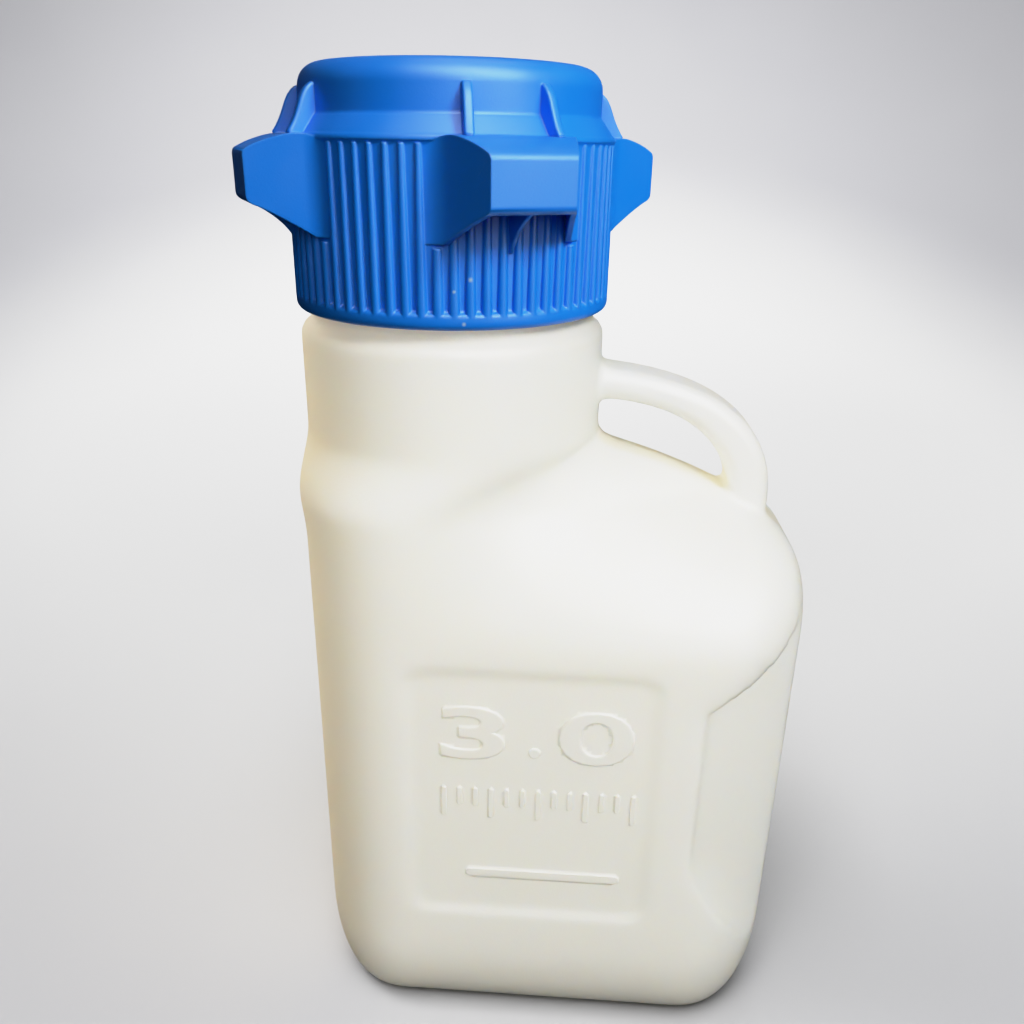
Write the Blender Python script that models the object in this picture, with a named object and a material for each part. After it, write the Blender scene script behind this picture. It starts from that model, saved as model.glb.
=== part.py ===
"""Plastic carboy: a flat blow-moulded body with an off-centre wide neck, a strap
handle over a narrow sloping shoulder, and a screw cap with four hollow wings.

Metres, +Z up. The origin is the centre of the flat base, +X runs towards the handle
end, and the body's two halves mirror each other across the XZ plane.
"""

import math

import bmesh
import bpy
import numpy as np
from mathutils import Vector
from mathutils.geometry import interpolate_bezier

# Body: plan size, corner radii and the rounding at the foot of the walls
BODY_LENGTH = 0.1584
BODY_DEPTH = 0.102
CORNER_NECK_END = 0.033
CORNER_HANDLE_END = 0.035
BASE_INSET = 0.0143
BASE_RISE = 0.0342
BASE_CORNER_SHRINK = 1.5

# Shoulder: where each wall starts to close in, and where the neck takes over
NECK_AXIS_X = -0.0348
SHOULDER_START = 0.1495
END_WALL_BEND = 0.176
END_WALL_STRAIGHT = 0.200
NECK_SIDE_START = 0.190
NECK_FOOT = 0.2095
RIDGE_HALF_WIDTH = 0.0095
ROUNDING_POWER = 1.3

# Neck: straight wall, rounded collar, then the narrower finish inside the cap
NECK_RADIUS = 0.0463
COLLAR_TOP = 0.2415
COLLAR_ROUND = 0.004
FINISH_RADIUS = NECK_RADIUS - COLLAR_ROUND
FINISH_TOP = 0.2915
MOUTH_RADIUS = 0.0396
MOUTH_ROUND = 0.0031

# Strap handle: from inside the neck's wall to inside the shoulder
STRAP_HALF_WIDTH = 0.010
STRAP_EDGE = 0.004
STRAP_START_X = 0.0080
STRAP_END_Z = 0.1760

# Shallow label panel on both broad faces
PANEL_LEFT = -0.0438
PANEL_RIGHT = 0.0332
PANEL_BOTTOM = 0.051
PANEL_TOP = 0.1445
PANEL_CORNER = 0.006
PANEL_SINK = 0.001

# Finger grip cut across each corner of the handle end
GRIP_LEFT = 0.0465
GRIP_STEP = 0.0015
GRIP_END_ANGLE = 21.0
GRIP_LEDGE_LEFT = 0.134
GRIP_LEDGE_RIGHT = 0.160
GRIP_LEDGE_SAG = 0.003
GRIP_CORNER = 0.004
GRIP_RAMP_TOP = 0.066
GRIP_RAMP_RISE = 0.009
GRIP_FOOT = 0.044
GRIP_REACH = 0.020

# Cap: skirt, shelf and dome
CAP_FOOT = 0.2454
CAP_TOP = 0.3111
SKIRT_RADIUS = 0.047
RIM_CHAMFER = 0.0005
BAND_TOP = 0.2493
RIB_COUNT = 68
RIB_PITCH = 360.0 / RIB_COUNT
RIB_TOP = 0.2908
RIB_DEPTH_FOOT = 0.0013
RIB_DEPTH_TOP = 0.0008
RIB_WIDTH_FOOT = 0.0025
RIB_WIDTH_TOP = 0.0013
RIB_SLANT = 0.6
RIB_LEDGE = 0.0008
SHELF_EDGE = 0.2938
DOME_RADIUS = 0.0427
DOME_FOOT = 0.2971
DOME_COVE = 0.0016
DOME_ROUND = 0.006
DOME_CROWN = 0.0005
CAP_WALL = 0.0028
FIT_GAP = 0.0003

# Cap wings: four hollow grips, each with a web inside and two fins above
WING_COUNT = 4
WING_AZIMUTH = -63.8
WING_TIP = 0.0605
WING_TIP_HALF_WIDTH = 0.01125
WING_TIP_TOP = 0.2876
WING_TIP_FOOT = 0.2772
WING_FOOT = 0.2658
WING_ROOT_ANGLE = 22.5
WING_FILLET = 0.008
WING_WALL = 0.0023
WEB_THICKNESS = 0.0017
PLATE_ROOT = 0.0025
WING_DEPTH = 0.012
CUT_MARGIN = 0.002
FIN_ANGLE = 15.75
FIN_THICKNESS = 0.0024

# Facets: segments round the corners, along a broad face and round a strap edge
NECK_END_SEGMENTS = 11
FACE_SEGMENTS = 4
HANDLE_END_SEGMENTS = 7
STRAP_STATIONS = 22
STRAP_EDGE_SEGMENTS = 3
WELD_DISTANCE = 0.00003


def bezier(start, start_handle, end_handle, end, count=40):
    """Points along one cubic curve in a plane, as an array of pairs."""
    ends = [Vector((*point, 0.0)) for point in (start, start_handle, end_handle, end)]
    return np.array([point.xy for point in interpolate_bezier(*ends, count)])


def at_height(curve, z):
    """Value of a curve of (value, height) pairs at one height."""
    return float(np.interp(z, curve[:, 1], curve[:, 0]))


def arc(centre, radius, start, end, segments):
    """Points of an arc in a plane, with the angles in degrees."""
    angles = np.radians(np.linspace(start, end, segments + 1))
    return [(centre[0] + radius * math.cos(a), centre[1] + radius * math.sin(a)) for a in angles]


def link(name, bm):
    """Clean a mesh, face it outwards and put it in the scene."""
    bmesh.ops.remove_doubles(bm, verts=bm.verts[:], dist=0.00001)
    bmesh.ops.dissolve_degenerate(bm, edges=bm.edges[:], dist=0.00001)
    bmesh.ops.recalc_face_normals(bm, faces=bm.faces[:])
    mesh = bpy.data.meshes.new(name)
    bm.to_mesh(mesh)
    bm.free()
    thing = bpy.data.objects.new(name, mesh)
    bpy.context.scene.collection.objects.link(thing)
    return thing


def add_loft(bm, rings):
    """Skin a stack of closed rings of points with equal counts, and cap both ends."""
    loops = [[bm.verts.new(point) for point in ring] for ring in rings]
    for lower, upper in zip(loops, loops[1:]):
        for i in range(len(lower)):
            j = (i + 1) % len(lower)
            bm.faces.new((lower[i], lower[j], upper[j], upper[i]))
    bm.faces.new(list(reversed(loops[0])))
    bm.faces.new(loops[-1])


def helper(thing):
    """Mark an object that only shapes another one."""
    thing.hide_render = True
    thing.display_type = 'WIRE'
    return thing


def boolean(thing, operand, operation):
    """Join, cut or intersect one object with another."""
    modifier = thing.modifiers.new(operand.name, 'BOOLEAN')
    modifier.object = operand
    modifier.operation = operation
    modifier.solver = 'EXACT'


def weld(thing):
    """Merge the near-coincident corners that joining leaves."""
    modifier = thing.modifiers.new('weld', 'WELD')
    modifier.merge_threshold = WELD_DISTANCE


def material(name, colour, roughness):
    """Plain plastic in one colour."""
    made = bpy.data.materials.new(name)
    made.use_nodes = True
    shader = made.node_tree.nodes['Principled BSDF']
    shader.inputs['Base Color'].default_value = (*colour, 1.0)
    shader.inputs['Roughness'].default_value = roughness
    shader.inputs['Metallic'].default_value = 0.0
    return made


def shade(thing, angle):
    """Smooth shading with sharp edges above an angle in degrees."""
    thing.data.shade_smooth()
    thing.data.set_sharp_from_angle(angle=math.radians(angle))


# Bottle: body, shoulder and neck are one stack of level sections. Each section is the
# outline stretched round two discs at the neck end and two at the handle end.
WALL = BODY_LENGTH / 2
HALF_DEPTH = BODY_DEPTH / 2

# The handle end's rightmost point, first down the round of the shoulder, then up the ridge
shoulder_end = bezier((WALL, SHOULDER_START), (WALL, 0.1710), (0.0748, 0.1765), (0.0638, 0.1838))
ridge_end = bezier((0.0638, 0.1838), (0.0550, 0.1900), (0.0360, 0.1985), (0.0138, 0.2036))
END_CURVE = np.concatenate([shoulder_end, ridge_end[1:]])

# Half the depth of the handle end, closing from the broad faces to the ridge
SLOPE_CURVE = bezier((HALF_DEPTH, SHOULDER_START), (HALF_DEPTH, 0.168),
                     (0.026, 0.176), (RIDGE_HALF_WIDTH, 0.190))


def blend(z, start, end):
    """Smooth step from 0 to 1 between two heights."""
    t = min(max((z - start) / (end - start), 0.0), 1.0)
    return t * t * (3.0 - 2.0 * t)


def foot_inset(z):
    """How far the rounded foot of the walls draws in at a height."""
    t = min(max(1.0 - z / BASE_RISE, 0.0), 1.0)
    return BASE_INSET * (1.0 - math.sqrt(1.0 - t * t))


def end_discs(z):
    """Centre x, centre offset in y and radius of the discs at the two ends."""
    inset = foot_inset(z)
    shrink = BASE_CORNER_SHRINK * inset
    turn = blend(z, NECK_SIDE_START, NECK_FOOT)
    lean = blend(z, END_WALL_BEND, END_WALL_STRAIGHT)
    near_x = -WALL + inset + (NECK_AXIS_X - NECK_RADIUS + WALL) * lean
    near_depth = HALF_DEPTH - inset + (NECK_RADIUS - HALF_DEPTH) * turn
    near_radius = CORNER_NECK_END - shrink + (NECK_RADIUS - CORNER_NECK_END) * turn
    far_x = at_height(END_CURVE, z) - inset
    slope_depth = at_height(SLOPE_CURVE, z)
    far_depth = slope_depth - inset
    openness = max(0.0, slope_depth - RIDGE_HALF_WIDTH) / (HALF_DEPTH - RIDGE_HALF_WIDTH)
    rounding = openness ** ROUNDING_POWER
    far_radius = RIDGE_HALF_WIDTH + (CORNER_HANDLE_END - RIDGE_HALF_WIDTH) * rounding - shrink
    near = (near_x + near_radius, near_depth - near_radius, near_radius)
    far = (far_x - far_radius, far_depth - far_radius, far_radius)
    return near, far


def half_outline(near, far):
    """Front half of the outline round a near disc and a far disc, from -X to +X."""
    centre_near = Vector((near[0], -near[1]))
    centre_far = Vector((far[0], -far[1]))
    span = centre_far - centre_near
    lean = math.acos(max(-1.0, min(1.0, (near[2] - far[2]) / span.length)))
    tangent = math.degrees(math.atan2(span.y, span.x) - lean) % 360.0
    first = arc(centre_near, near[2], 180.0, tangent, NECK_END_SEGMENTS)
    last = arc(centre_far, far[2], tangent, 360.0, HANDLE_END_SEGMENTS)
    between = np.linspace(first[-1], last[0], FACE_SEGMENTS + 1)[1:-1]
    return first + [tuple(point) for point in between] + last


def mirrored_ring(front, z):
    """A closed level ring from the front half of its outline."""
    back = [(x, -y) for x, y in reversed(front)]
    return [Vector((x, y, z)) for x, y in front + back]


def round_ring(radius, z, below):
    """A ring about the neck's axis, with each point straight above one of the ring below."""
    ring = []
    for point in below:
        a = math.atan2(point.y, point.x - NECK_AXIS_X)
        ring.append(Vector((NECK_AXIS_X + radius * math.cos(a), radius * math.sin(a), z)))
    return ring


def body_rings():
    """Level sections of the body and shoulder, closest together where it curves most."""
    foot = [BASE_RISE * (1.0 - math.cos(a)) for a in np.radians((0, 18, 33, 47, 62, 78, 90))]
    shoulder = np.linspace(SHOULDER_START, NECK_SIDE_START, 8)
    ridge = np.linspace(NECK_SIDE_START, END_CURVE[-1, 1], 12)[1:]
    heights = [*foot, *shoulder, *ridge]
    return [mirrored_ring(half_outline(*end_discs(z)), z) for z in heights]


def neck_rings(below):
    """Neck wall, rounded collar and the finish that the cap hides."""
    collar_centre = (NECK_RADIUS - COLLAR_ROUND, COLLAR_TOP - COLLAR_ROUND)
    mouth_top = CAP_TOP - CAP_WALL - FIT_GAP
    mouth_centre = (MOUTH_RADIUS - MOUTH_ROUND, mouth_top - MOUTH_ROUND)
    profile = [(NECK_RADIUS, NECK_FOOT), *arc(collar_centre, COLLAR_ROUND, 0.0, 80.0, 4),
               (FINISH_RADIUS, COLLAR_TOP), (FINISH_RADIUS, FINISH_TOP),
               (MOUTH_RADIUS, FINISH_TOP + FINISH_RADIUS - MOUTH_RADIUS),
               *arc(mouth_centre, MOUTH_ROUND, 0.0, 90.0, 2)]
    return [round_ring(radius, z, below) for radius, z in profile]


def strap_section(outer, inner):
    """Rounded rectangle across the strap, between its outer and inner edge points."""
    middle = (Vector(outer) + Vector(inner)) / 2
    across = (Vector(outer) - Vector(inner)) / 2
    half = across.length
    across.normalize()
    flat = STRAP_HALF_WIDTH - STRAP_EDGE
    rise = half - STRAP_EDGE
    ring = []
    for side_y, side_n, start in ((1, 1, 0), (-1, 1, 90), (-1, -1, 180), (1, -1, 270)):
        centre = (side_y * flat, side_n * rise)
        for y, n in arc(centre, STRAP_EDGE, start, start + 90, STRAP_EDGE_SEGMENTS):
            point = middle + across * n
            ring.append(Vector((point.x, y, point.y)))
    return ring


def strap_rings():
    """Sections along the strap, from inside the neck wall to inside the shoulder."""
    outer = bezier((STRAP_START_X, 0.2284), (0.0520, 0.2264), (0.0730, 0.2080),
                   (0.0655, STRAP_END_Z), STRAP_STATIONS)
    inner = bezier((STRAP_START_X, 0.2184), (0.0450, 0.2190), (0.0570, 0.2000),
                   (0.0556, STRAP_END_Z), STRAP_STATIONS)
    return [strap_section(a, b) for a, b in zip(outer, inner)]


def add_prism(bm, outline, place):
    """Closed prism on an outline; place(point, end) gives the corner at end 0 or 1."""
    add_loft(bm, [[place(point, end) for point in outline] for end in (0, 1)])


def panel_cutter():
    """Rounded rectangles that sink the label panels into both broad faces."""
    left = PANEL_LEFT + PANEL_CORNER
    right = PANEL_RIGHT - PANEL_CORNER
    low = PANEL_BOTTOM + PANEL_CORNER
    high = PANEL_TOP - PANEL_CORNER
    outline = []
    for centre, start in (((right, high), 0), ((left, high), 90), ((left, low), 180), ((right, low), 270)):
        outline += arc(centre, PANEL_CORNER, start, start + 90, 3)
    bm = bmesh.new()
    for side in (-1, 1):
        depths = (side * (HALF_DEPTH - PANEL_SINK), side * (HALF_DEPTH + PANEL_SINK))
        add_prism(bm, outline, lambda point, end: Vector((point[0], depths[end], point[1])))
    return helper(link('panel_cutter', bm))


def grip_cutter():
    """Wedges that cut a flat finger grip across both corners of the handle end.

    The floor is a plane from just behind the broad face to a point near the middle of
    the narrow end. Above it the ledge climbs to the right, and below it ramps out.
    """
    corner = Vector((WALL - CORNER_HANDLE_END, -HALF_DEPTH + CORNER_HANDLE_END))
    angle = math.radians(-GRIP_END_ANGLE)
    start = Vector((GRIP_LEFT, -HALF_DEPTH + GRIP_STEP))
    end = corner + CORNER_HANDLE_END * Vector((math.cos(angle), math.sin(angle)))
    along = (end - start).normalized()
    outward = Vector((along.y, -along.x))
    span = (end - start).length
    ledge_middle = (GRIP_LEDGE_LEFT + GRIP_LEDGE_RIGHT) / 2 - GRIP_LEDGE_SAG
    floor = [(0.0, GRIP_RAMP_TOP), (span, GRIP_RAMP_TOP), (span, GRIP_LEDGE_RIGHT),
             (span / 2, ledge_middle), (GRIP_CORNER, GRIP_LEDGE_LEFT),
             (0.0, GRIP_LEDGE_LEFT - GRIP_CORNER)]
    bm = bmesh.new()
    for side in (1, -1):
        def corner_at(u, z, out):
            point = start + along * u + outward * out
            return bm.verts.new((point.x, side * point.y, z))
        low = [corner_at(u, z, 0.0) for u, z in floor]
        high = [corner_at(u, z, GRIP_REACH) for u, z in floor]
        foot_low = [corner_at(u, GRIP_FOOT, GRIP_RAMP_RISE) for u in (0.0, span)]
        foot_high = [corner_at(u, GRIP_FOOT, GRIP_REACH) for u in (0.0, span)]
        bm.faces.new(low)
        bm.faces.new(high)
        bm.faces.new((foot_low[0], foot_low[1], low[1], low[0]))
        bm.faces.new((foot_high[0], foot_high[1], high[1], high[0]))
        bm.faces.new((foot_low[0], foot_low[1], foot_high[1], foot_high[0]))
        bm.faces.new((foot_low[0], low[0], high[0], foot_high[0]))
        bm.faces.new((foot_low[1], low[1], high[1], foot_high[1]))
        for i in range(1, len(low)):
            j = (i + 1) % len(low)
            bm.faces.new((low[i], low[j], high[j], high[i]))
    return helper(link('grip_cutter', bm))


def make_bottle():
    """One blow-moulded piece: body, neck and strap, with panels and grips sunk in."""
    bm = bmesh.new()
    body = body_rings()
    add_loft(bm, body + neck_rings(body[-1]))
    bottle = link('bottle', bm)
    shade(bottle, 35.0)
    bm = bmesh.new()
    add_loft(bm, strap_rings())
    boolean(bottle, helper(link('strap', bm)), 'UNION')
    boolean(bottle, panel_cutter(), 'DIFFERENCE')
    boolean(bottle, grip_cutter(), 'DIFFERENCE')
    weld(bottle)
    bottle.data.materials.append(material('milky_plastic', (0.80, 0.79, 0.73), 0.45))
    return bottle


# Cap: one moulded piece, made of a turned shell with a ribbed skirt, joined to four
# wings and to the thin plates inside and above them.


def polar(radius, degrees, z):
    """Point at a radius and azimuth about the neck's axis."""
    a = math.radians(degrees)
    return Vector((NECK_AXIS_X + radius * math.cos(a), radius * math.sin(a), z))


def rib_ring(depth, width, z):
    """Skirt section with four points for each rib: two on its crest, two at its root."""
    half = math.degrees(width / 2 / SKIRT_RADIUS)
    slant = RIB_SLANT * half
    root = SKIRT_RADIUS - depth
    ring = []
    for i in range(RIB_COUNT):
        azimuth = WING_AZIMUTH + 45.0 + i * RIB_PITCH
        ring += [polar(root, azimuth - half - slant, z), polar(SKIRT_RADIUS, azimuth - half, z),
                 polar(SKIRT_RADIUS, azimuth + half, z), polar(root, azimuth + half + slant, z)]
    return ring


def turned_ring(radius, z):
    """Plain ring with one point in the gap before each rib."""
    first = WING_AZIMUTH + 45.0 - RIB_PITCH / 2
    return [polar(radius, first + i * RIB_PITCH, z) for i in range(RIB_COUNT)]


def cap_rings():
    """Sections of the shell, from the ceiling down inside to the rim and up over the dome."""
    half_ledge = RIB_LEDGE / 2
    ceiling = CAP_TOP - CAP_WALL
    inner_round = MOUTH_ROUND + FIT_GAP
    inner_radius = MOUTH_RADIUS + FIT_GAP
    bore = FINISH_RADIUS + FIT_GAP
    bore_top = FINISH_TOP + FIT_GAP
    root_top = SKIRT_RADIUS - RIB_DEPTH_TOP
    rings = [turned_ring(radius, z) for radius, z in
             arc((inner_radius - inner_round, ceiling - inner_round), inner_round, 90.0, 0.0, 2)]
    rings += [turned_ring(inner_radius, bore_top + bore - inner_radius),
              turned_ring(bore, bore_top),
              turned_ring(bore, CAP_FOOT),
              turned_ring(SKIRT_RADIUS - RIM_CHAMFER, CAP_FOOT),
              turned_ring(SKIRT_RADIUS, CAP_FOOT + RIM_CHAMFER),
              turned_ring(SKIRT_RADIUS, BAND_TOP),
              rib_ring(RIB_DEPTH_FOOT, RIB_WIDTH_FOOT, BAND_TOP + RIB_LEDGE),
              rib_ring(RIB_DEPTH_TOP, RIB_WIDTH_TOP, RIB_TOP),
              turned_ring(root_top, RIB_TOP + half_ledge),
              turned_ring(SKIRT_RADIUS, SHELF_EDGE - half_ledge),
              turned_ring(SKIRT_RADIUS - half_ledge, SHELF_EDGE + half_ledge),
              turned_ring(DOME_RADIUS + DOME_COVE, DOME_FOOT - DOME_COVE / 2),
              turned_ring(DOME_RADIUS, DOME_FOOT + DOME_COVE / 2)]
    top_edge = CAP_TOP - DOME_CROWN
    for radius, z in arc((DOME_RADIUS - DOME_ROUND, top_edge - DOME_ROUND), DOME_ROUND, 0.0, 90.0, 4):
        rings.append(turned_ring(radius, z))
    rings.append(turned_ring(DOME_RADIUS / 2, CAP_TOP))
    return rings


def skin_cap(bm, rings):
    """Skin the rings in order, where a ring may have four points for each rib or one."""
    loops = [[bm.verts.new(point) for point in ring] for ring in rings]
    for first, second in zip(loops, loops[1:]):
        if len(first) == len(second):
            for i in range(len(first)):
                j = (i + 1) % len(first)
                bm.faces.new((first[i], first[j], second[j], second[i]))
            continue
        fine, coarse = sorted((first, second), key=len, reverse=True)
        step = len(fine) // len(coarse)
        for i in range(len(coarse)):
            j = (i + 1) % len(coarse)
            row = fine[i * step:(i + 1) * step]
            bm.faces.new([coarse[j], coarse[i], *row])
            bm.faces.new([coarse[j], row[-1], fine[j * step]])
    bm.faces.new(loops[0])
    bm.faces.new(loops[-1])


def wing_place(azimuth):
    """Function from (outward, sideways, height) to the wing at an azimuth."""
    a = math.radians(azimuth)
    out = Vector((math.cos(a), math.sin(a), 0.0))
    side = Vector((-math.sin(a), math.cos(a), 0.0))
    return lambda u, t, z: Vector((NECK_AXIS_X, 0.0, z)) + out * u + side * t


def wing_places():
    """The four wings' placing functions."""
    return [wing_place(WING_AZIMUTH + i * 360.0 / WING_COUNT) for i in range(WING_COUNT)]


def wing_plan():
    """Plan of a wing: tip, straight flank, round root fillet and an arc inside the skirt."""
    root_angle = math.radians(WING_ROOT_ANGLE)
    root = SKIRT_RADIUS * Vector((math.cos(root_angle), math.sin(root_angle)))
    tip = Vector((WING_TIP, WING_TIP_HALF_WIDTH))
    flank = (tip - root).normalized()
    normal = Vector((-flank.y, flank.x))
    base = root + normal * WING_FILLET
    reach = SKIRT_RADIUS + WING_FILLET
    along = base.dot(flank)
    slide = -along + math.sqrt(along * along - base.length_squared + reach * reach)
    centre = base + flank * slide
    end = math.degrees(math.atan2(-normal.y, -normal.x))
    start = math.degrees(math.atan2(-centre.y, -centre.x))
    fillet = arc(centre, WING_FILLET, end, start, 4)
    inner_angle = math.degrees(math.atan2(centre.y, centre.x))
    inside = arc((0.0, 0.0), SKIRT_RADIUS - CAP_WALL, inner_angle, 0.0, 4)[:-1]
    beyond = tip + flank * CUT_MARGIN
    upper = [tuple(beyond), *fillet, *inside]
    lower = [(u, -t) for u, t in reversed(upper)]
    return upper + [(SKIRT_RADIUS - CAP_WALL, 0.0)] + lower, flank, normal, root


def wing_top(count=5):
    """Upper edge of a wing from the shelf to the rounded nose of its tip."""
    curve = bezier((0.0440, SHELF_EDGE), (0.0500, 0.2928), (0.0570, 0.2906), (0.0597, 0.2890), count)
    return [tuple(point) for point in curve]


def wing_foot(count=7):
    """Lower edge of a wing from the tip back to the skirt."""
    curve = bezier((0.0603, 0.2762), (0.0505, 0.2716), (0.0446, 0.2700), (0.0442, WING_FOOT), count)
    return [tuple(point) for point in curve]


def make_wings():
    """Four hollow wings, open below."""
    plan, flank, normal, root = wing_plan()
    deep = SKIRT_RADIUS - WING_DEPTH
    profile = [(deep, SHELF_EDGE), *wing_top(), (WING_TIP, WING_TIP_TOP), (WING_TIP, WING_TIP_FOOT),
               *wing_foot(), (deep, WING_FOOT)]
    side = root - normal * WING_WALL
    nose = WING_TIP - WING_WALL
    nose_half = side.y + flank.y * (nose - side.x) / flank.x
    deep_half = side.y + flank.y * (deep - side.x) / flank.x
    pocket_plan = [(nose, nose_half), (deep, deep_half), (deep, -deep_half), (nose, -nose_half)]
    roof = [(u, z - WING_WALL) for u, z in wing_top()]
    below = WING_FOOT - WING_WALL
    pocket_profile = [(deep, roof[0][1]), *roof, (WING_TIP, roof[-1][1] - CUT_MARGIN),
                      (WING_TIP, below), (deep, below)]
    low = CAP_FOOT
    high = CAP_TOP
    wide = WING_TIP / 2
    meshes = [bmesh.new() for _ in range(4)]
    for place in wing_places():
        add_prism(meshes[0], plan, lambda p, end: place(p[0], p[1], (low, high)[end]))
        add_prism(meshes[1], profile, lambda p, end: place(p[0], (-wide, wide)[end], p[1]))
        add_prism(meshes[2], pocket_plan, lambda p, end: place(p[0], p[1], (low, high)[end]))
        add_prism(meshes[3], pocket_profile, lambda p, end: place(p[0], (-wide, wide)[end], p[1]))
    names = ('wings', 'wing_profiles', 'wing_pockets', 'pocket_profiles')
    wings, profiles, pockets, roofs = [helper(link(name, bm)) for name, bm in zip(names, meshes)]
    boolean(wings, profiles, 'INTERSECT')
    boolean(pockets, roofs, 'INTERSECT')
    boolean(wings, pockets, 'DIFFERENCE')
    return wings


def make_plates():
    """The web inside each wing, and the two curved fins that brace it to the dome."""
    foot = SKIRT_RADIUS - PLATE_ROOT
    web_foot = bezier((0.0594, 0.2766), (0.0545, 0.2738), (0.0495, 0.2705), (0.0470, 0.2652), 7)
    web = [(foot, 0.2925), (0.0575, 0.2885), (0.0594, 0.2870), *[tuple(point) for point in web_foot],
           (foot, 0.2652)]
    edge = bezier((0.0428, 0.3063), (0.0478, 0.3035), (0.0460, 0.2985), (0.0507, 0.2935), 7)
    fin = [(0.0414, 0.3052), *[tuple(point) for point in edge], (0.0490, 0.2926), (0.0414, 0.2928)]
    bm = bmesh.new()
    for i in range(WING_COUNT):
        azimuth = WING_AZIMUTH + i * 360.0 / WING_COUNT
        for turn, outline, thickness in ((0.0, web, WEB_THICKNESS), (FIN_ANGLE, fin, FIN_THICKNESS),
                                         (-FIN_ANGLE, fin, FIN_THICKNESS)):
            place = wing_place(azimuth + turn)
            half = thickness / 2
            add_prism(bm, outline, lambda p, end: place(p[0], (-half, half)[end], p[1]))
    return helper(link('plates', bm))


def make_cap():
    """One moulded cap."""
    bm = bmesh.new()
    skin_cap(bm, cap_rings())
    cap = link('cap', bm)
    shade(cap, 30.0)
    boolean(cap, make_wings(), 'UNION')
    boolean(cap, make_plates(), 'UNION')
    weld(cap)
    cap.data.materials.append(material('blue_plastic', (0.008, 0.150, 0.640), 0.42))
    return cap


for old in list(bpy.data.objects):
    bpy.data.objects.remove(old)
make_bottle()
make_cap()
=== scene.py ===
import math

import bmesh
import bpy
import numpy as np
from mathutils import Matrix, Vector
from mathutils.geometry import interpolate_bezier


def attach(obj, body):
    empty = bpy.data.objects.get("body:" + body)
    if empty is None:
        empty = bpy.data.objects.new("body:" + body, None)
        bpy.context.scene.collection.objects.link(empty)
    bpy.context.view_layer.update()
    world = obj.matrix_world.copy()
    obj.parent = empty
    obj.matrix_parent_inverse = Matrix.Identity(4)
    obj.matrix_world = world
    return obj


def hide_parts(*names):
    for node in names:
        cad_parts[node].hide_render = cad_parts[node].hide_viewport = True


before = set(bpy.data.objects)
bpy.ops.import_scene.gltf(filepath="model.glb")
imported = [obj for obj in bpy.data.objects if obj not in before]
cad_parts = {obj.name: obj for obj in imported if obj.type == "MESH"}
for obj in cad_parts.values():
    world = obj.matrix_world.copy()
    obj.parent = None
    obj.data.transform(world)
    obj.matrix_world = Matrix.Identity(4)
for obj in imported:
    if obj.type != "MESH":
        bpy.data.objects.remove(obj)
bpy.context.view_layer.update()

# BOTTLE BODY
# The bottle is one blow-moulded piece of milky polyethylene, about 2 mm thick. Its flat
# body stands under a wide neck at one end and a shoulder that slopes away at the other.
NECK_X = -0.0348
WALL = 0.0792
HALF_DEPTH = 0.051
NECK_CORNER = 0.033
HANDLE_CORNER = 0.035
FOOT_INSET = 0.0143
FOOT_RISE = 0.0342
FOOT_CORNER_SHRINK = 1.5
SHOULDER_Z = 0.1495
END_WALL_BEND_Z = 0.176
END_WALL_STRAIGHT_Z = 0.200
NECK_SIDE_Z = 0.190
NECK_FOOT_Z = 0.2095
RIDGE_HALF = 0.0095
ROUNDING_POWER = 1.3
NECK_RADIUS = 0.0463
COLLAR_Z = 0.2415
COLLAR_ROUND = 0.004
FINISH_RADIUS = NECK_RADIUS - COLLAR_ROUND
FINISH_TOP_Z = 0.2915
MOUTH_RADIUS = 0.0396
MOUTH_Z = 0.3078
ROUND_STEPS = 60
RING_HALF = 90
# Inset and height of the base: a flat rim 4 mm wide, then the middle, pushed up a little
BASE_LEVELS = ((0.0085, 0.0014), (0.0060, 0.0009), (0.0040, 0.0))


def pick(*pieces):
    """Select these pieces alone and make the first one active."""
    bpy.ops.object.select_all(action="DESELECT")
    for piece in pieces:
        piece.select_set(True)
    bpy.context.view_layer.objects.active = pieces[0]


def bezier(start, start_handle, end_handle, end, count=60):
    """Points along one cubic curve in a plane."""
    ends = [Vector((*point, 0.0)) for point in (start, start_handle, end_handle, end)]
    return [tuple(point.xy) for point in interpolate_bezier(*ends, count)]


def arc(centre, radius, start, end, steps):
    """Points of an arc in a plane, with its angles in degrees."""
    angles = np.radians(np.linspace(start, end, steps + 1))
    return [(centre[0] + radius * math.cos(turn), centre[1] + radius * math.sin(turn)) for turn in angles]


def add_ring(points):
    """Add a circle and lay its points on one closed outline."""
    bpy.ops.mesh.primitive_circle_add(vertices=len(points))
    ring = bpy.context.object
    for vertex, point in zip(ring.data.vertices, points):
        vertex.co = point
    return ring


def skin(name, outlines):
    """Lay a circle on each outline, bridge them in order and close both ends."""
    rings = [add_ring(points) for points in outlines]
    pick(*rings)
    bpy.ops.object.join()
    bpy.ops.object.mode_set(mode="EDIT")
    bpy.ops.mesh.select_all(action="SELECT")
    bpy.ops.mesh.bridge_edge_loops()
    bpy.ops.mesh.select_all(action="DESELECT")
    bpy.ops.mesh.select_non_manifold(extend=False, use_multi_face=False, use_non_contiguous=False,
                                     use_verts=False)
    bpy.ops.mesh.edge_face_add()
    bpy.ops.mesh.select_all(action="SELECT")
    bpy.ops.mesh.normals_make_consistent(inside=False)
    bpy.ops.object.mode_set(mode="OBJECT")
    made = bpy.context.object
    made.name = name
    return made


def blend(z, start, end):
    """Smooth step from 0 to 1 between two heights."""
    t = min(max((z - start) / (end - start), 0.0), 1.0)
    return t * t * (3.0 - 2.0 * t)


def value_at(curve, z):
    """Value of a curve of (value, height) pairs at one height."""
    return float(np.interp(z, [point[1] for point in curve], [point[0] for point in curve]))


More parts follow.
